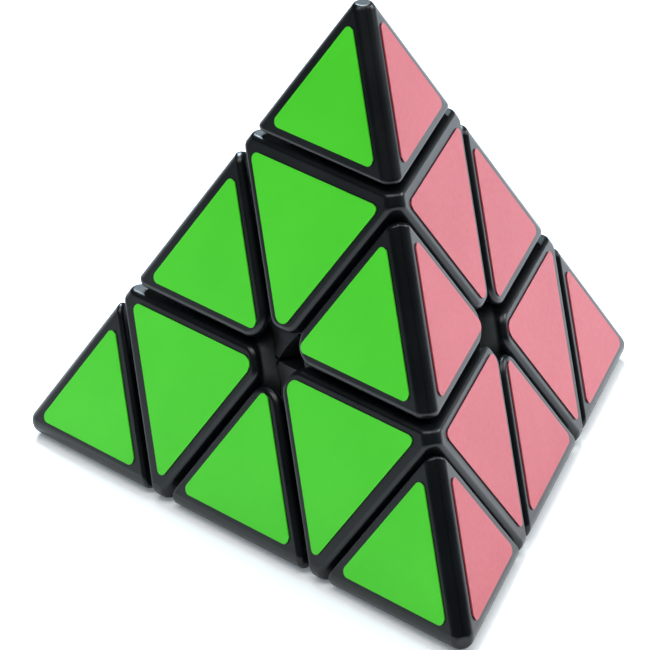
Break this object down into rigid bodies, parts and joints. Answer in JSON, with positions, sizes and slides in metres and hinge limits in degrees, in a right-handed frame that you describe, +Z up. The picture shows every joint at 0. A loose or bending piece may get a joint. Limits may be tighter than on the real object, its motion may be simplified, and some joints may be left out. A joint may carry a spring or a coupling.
{
  "type": "pyramid twisty puzzle",
  "caption": "Pyramid twisty puzzle with turning corner layers and tips on a sprung screw core, in black plastic, with one sticker colour on each side.",
  "frame": {"origin": "centre of the core ball, where the four turning axes meet", "axes": "+Z up through the top tip, square to the face it stands on; -Y through the front upright edge; +X to the right"},
  "size_m": [0.0976, 0.0851, 0.0804],
  "materials": {
    "black_plastic": "satin moulded, with polished rounded edges",
    "inner_plastic": "plain moulded",
    "screw_steel": "zinc plated",
    "spring_steel": "drawn wire",
    "green_sticker": "satin vinyl",
    "red_sticker": "satin vinyl",
    "blue_sticker": "satin vinyl",
    "yellow_sticker": "satin vinyl"
  },
  "bodies": {
    "core": {"core": "inner_plastic", "core_screws": "screw_steel", "screw_washers": "screw_steel", "tip_springs": "spring_steel"},
    "top_corner": {"axial_top": "black_plastic", "blue_sticker_axial_top": "blue_sticker", "red_sticker_axial_top": "red_sticker", "green_sticker_axial_top": "green_sticker"},
    "front_corner": {"axial_front": "black_plastic", "yellow_sticker_axial_front": "yellow_sticker", "red_sticker_axial_front": "red_sticker", "green_sticker_axial_front": "green_sticker"},
    "left_corner": {"axial_left": "black_plastic", "yellow_sticker_axial_left": "yellow_sticker", "blue_sticker_axial_left": "blue_sticker", "green_sticker_axial_left": "green_sticker"},
    "right_corner": {"axial_right": "black_plastic", "yellow_sticker_axial_right": "yellow_sticker", "blue_sticker_axial_right": "blue_sticker", "red_sticker_axial_right": "red_sticker"},
    "top_tip": {"tip_base_top": "inner_plastic", "tip_cap_top": "black_plastic", "blue_sticker_tip_top": "blue_sticker", "red_sticker_tip_top": "red_sticker", "green_sticker_tip_top": "green_sticker"},
    "front_tip": {"tip_base_front": "inner_plastic", "tip_cap_front": "black_plastic", "yellow_sticker_tip_front": "yellow_sticker", "red_sticker_tip_front": "red_sticker", "green_sticker_tip_front": "green_sticker"},
    "left_tip": {"tip_base_left": "inner_plastic", "tip_cap_left": "black_plastic", "yellow_sticker_tip_left": "yellow_sticker", "blue_sticker_tip_left": "blue_sticker", "green_sticker_tip_left": "green_sticker"},
    "right_tip": {"tip_base_right": "inner_plastic", "tip_cap_right": "black_plastic", "yellow_sticker_tip_right": "yellow_sticker", "blue_sticker_tip_right": "blue_sticker", "red_sticker_tip_right": "red_sticker"},
    "top_front_edge": {"edge_top_front": "black_plastic", "red_sticker_edge_top_front": "red_sticker", "green_sticker_edge_top_front": "green_sticker"},
    "top_left_edge": {"edge_top_left": "black_plastic", "blue_sticker_edge_top_left": "blue_sticker", "green_sticker_edge_top_left": "green_sticker"},
    "top_right_edge": {"edge_top_right": "black_plastic", "blue_sticker_edge_top_right": "blue_sticker", "red_sticker_edge_top_right": "red_sticker"},
    "front_left_edge": {"edge_front_left": "black_plastic", "yellow_sticker_edge_front_left": "yellow_sticker", "green_sticker_edge_front_left": "green_sticker"},
    "front_right_edge": {"edge_front_right": "black_plastic", "yellow_sticker_edge_front_right": "yellow_sticker", "red_sticker_edge_front_right": "red_sticker"},
    "left_right_edge": {"edge_left_right": "black_plastic", "yellow_sticker_edge_left_right": "yellow_sticker", "blue_sticker_edge_left_right": "blue_sticker"}
  },
  "joints": [
    {"name": "top_layer_turn", "type": "hinge", "parent": "core", "child": "top_corner", "pos_m": [0, 0, 0], "axis": [0, 0, 1], "range_deg": [-240, 120]},
    {"name": "front_layer_turn", "type": "hinge", "parent": "core", "child": "front_corner", "pos_m": [0, 0, 0], "axis": [0, -0.9428, -0.3333], "range_deg": [-240, 120]},
    {"name": "left_layer_turn", "type": "hinge", "parent": "core", "child": "left_corner", "pos_m": [0, 0, 0], "axis": [-0.8165, 0.4714, -0.3333], "range_deg": [-240, 120]},
    {"name": "right_layer_turn", "type": "hinge", "parent": "core", "child": "right_corner", "pos_m": [0, 0, 0], "axis": [0.8165, 0.4714, -0.3333], "range_deg": [-240, 120]},
    {"name": "top_tip_turn", "type": "hinge", "parent": "top_corner", "child": "top_tip", "pos_m": [0, 0, 0.03], "axis": [0, 0, 1], "continuous": true},
    {"name": "front_tip_turn", "type": "hinge", "parent": "front_corner", "child": "front_tip", "pos_m": [0, -0.02828, -0.01], "axis": [0, -0.9428, -0.3333], "continuous": true},
    {"name": "left_tip_turn", "type": "hinge", "parent": "left_corner", "child": "left_tip", "pos_m": [-0.02449, 0.01414, -0.01], "axis": [-0.8165, 0.4714, -0.3333], "continuous": true},
    {"name": "right_tip_turn", "type": "hinge", "parent": "right_corner", "child": "right_tip", "pos_m": [0.02449, 0.01414, -0.01], "axis": [0.8165, 0.4714, -0.3333], "continuous": true},
    {"name": "top_front_edge_turn", "type": "hinge", "parent": "top_corner", "child": "top_front_edge", "pos_m": [0, 0, 0], "axis": [0, -0.9428, -0.3333], "range_deg": [-240, 120]},
    {"name": "top_left_edge_turn", "type": "hinge", "parent": "top_corner", "child": "top_left_edge", "pos_m": [0, 0, 0], "axis": [-0.8165, 0.4714, -0.3333], "range_deg": [-240, 120]},
    {"name": "top_right_edge_turn", "type": "hinge", "parent": "top_corner", "child": "top_right_edge", "pos_m": [0, 0, 0], "axis": [0.8165, 0.4714, -0.3333], "range_deg": [-240, 120]},
    {"name": "front_left_edge_turn", "type": "hinge", "parent": "left_corner", "child": "front_left_edge", "pos_m": [0, 0, 0], "axis": [0, -0.9428, -0.3333], "range_deg": [-240, 120]},
    {"name": "front_right_edge_turn", "type": "hinge", "parent": "front_corner", "child": "front_right_edge", "pos_m": [0, 0, 0], "axis": [0.8165, 0.4714, -0.3333], "range_deg": [-240, 120]},
    {"name": "left_right_edge_turn", "type": "hinge", "parent": "right_corner", "child": "left_right_edge", "pos_m": [0, 0, 0], "axis": [-0.8165, 0.4714, -0.3333], "range_deg": [-240, 120]}
  ],
  "couplings": [
    {"joint": "top_front_edge_turn", "follows": "front_layer_turn", "ratio": 1},
    {"joint": "top_left_edge_turn", "follows": "left_layer_turn", "ratio": 1},
    {"joint": "top_right_edge_turn", "follows": "right_layer_turn", "ratio": 1},
    {"joint": "front_left_edge_turn", "follows": "front_layer_turn", "ratio": 1},
    {"joint": "front_right_edge_turn", "follows": "right_layer_turn", "ratio": 1},
    {"joint": "left_right_edge_turn", "follows": "left_layer_turn", "ratio": 1}
  ]
}
